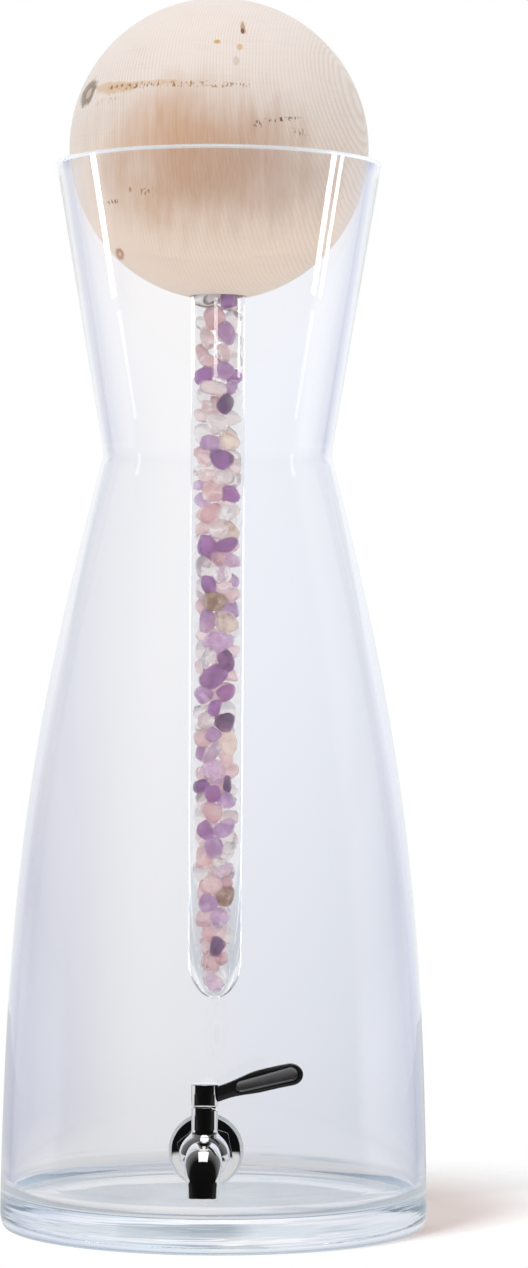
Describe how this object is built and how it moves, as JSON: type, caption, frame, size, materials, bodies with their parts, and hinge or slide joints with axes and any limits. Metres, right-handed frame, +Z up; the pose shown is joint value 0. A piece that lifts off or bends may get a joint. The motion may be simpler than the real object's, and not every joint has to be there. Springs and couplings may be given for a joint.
{
  "type": "water dispenser",
  "caption": "Tall waisted glass carafe with a lever tap low on the front, a wooden ball stopper in its flared neck and a glass vial of tumbled stones hanging from the ball.",
  "frame": {"origin": "middle of the flat underside of the glass, on the carafe's upright axis", "axes": "+Z up along the carafe's axis, -Y to the front, where the tap is, +X to the right, where the closed lever points"},
  "size_m": [0.1996, 0.2432, 0.5734],
  "materials": {
    "carafe_glass": "clear blown glass",
    "vial_glass": "clear drawn glass",
    "stone_pine": "pale sanded and unvarnished",
    "chrome": "polished",
    "steel": "plain stainless",
    "dark_steel": "blackened",
    "brass": "turned",
    "silicone": "translucent grey",
    "plug_silicone": "translucent white",
    "black_rubber": "smooth",
    "black_plastic": "glossy",
    "grey_plastic": "satin",
    "amethyst": "tumbled",
    "rose_quartz": "tumbled",
    "rock_crystal": "tumbled",
    "smoky_quartz": "tumbled"
  },
  "bodies": {
    "carafe": {"glass_carafe": "carafe_glass", "tap_body": "chrome", "outer_seal": "silicone", "rosette": "chrome", "hex_nut": "chrome", "inner_seal": "silicone", "flat_washer": "steel", "lock_nut": "steel", "gland_ring": "brass"},
    "lever": {"valve_plug": "brass", "plug_ring_lower": "black_rubber", "plug_ring_upper": "black_rubber", "lever_hub": "chrome", "hub_screw": "dark_steel", "lever_arm": "steel", "lever_grip": "black_plastic", "grip_inlay": "grey_plastic"},
    "stopper": {"wood_ball": "stone_pine", "gem_vial": "vial_glass", "vial_plug": "plug_silicone", "vial_seal_ring": "plug_silicone", "gem_layer_01": "amethyst", "gem_layer_02": "rock_crystal", "gem_layer_03": "rose_quartz", "gem_layer_04": "amethyst", "gem_layer_05": "rose_quartz", "gem_layer_06": "rock_crystal", "gem_layer_07": "amethyst", "gem_layer_08": "rock_crystal", "gem_layer_09": "smoky_quartz", "gem_layer_10": "amethyst", "gem_layer_11": "rock_crystal", "gem_layer_12": "rose_quartz", "gem_layer_13": "amethyst", "gem_layer_14": "rose_quartz", "gem_layer_15": "rock_crystal", "gem_layer_16": "amethyst", "gem_layer_17": "rock_crystal", "gem_layer_18": "smoky_quartz", "gem_layer_19": "amethyst", "gem_layer_20": "rock_crystal", "gem_layer_21": "rose_quartz", "gem_layer_22": "amethyst", "gem_layer_23": "rose_quartz", "gem_layer_24": "rock_crystal", "gem_layer_25": "amethyst", "gem_layer_26": "rock_crystal", "gem_layer_27": "smoky_quartz"}
  },
  "joints": [
    {"name": "stopper_lift", "type": "slide", "parent": "carafe", "child": "stopper", "axis": [0, 0, 1], "range_m": [0, 0.4]},
    {"name": "lever_turn", "type": "hinge", "parent": "carafe", "child": "lever", "pos_m": [0, -0.11917, 0.0735], "axis": [0, 0, -1], "range_deg": [0, 90]}
  ]
}
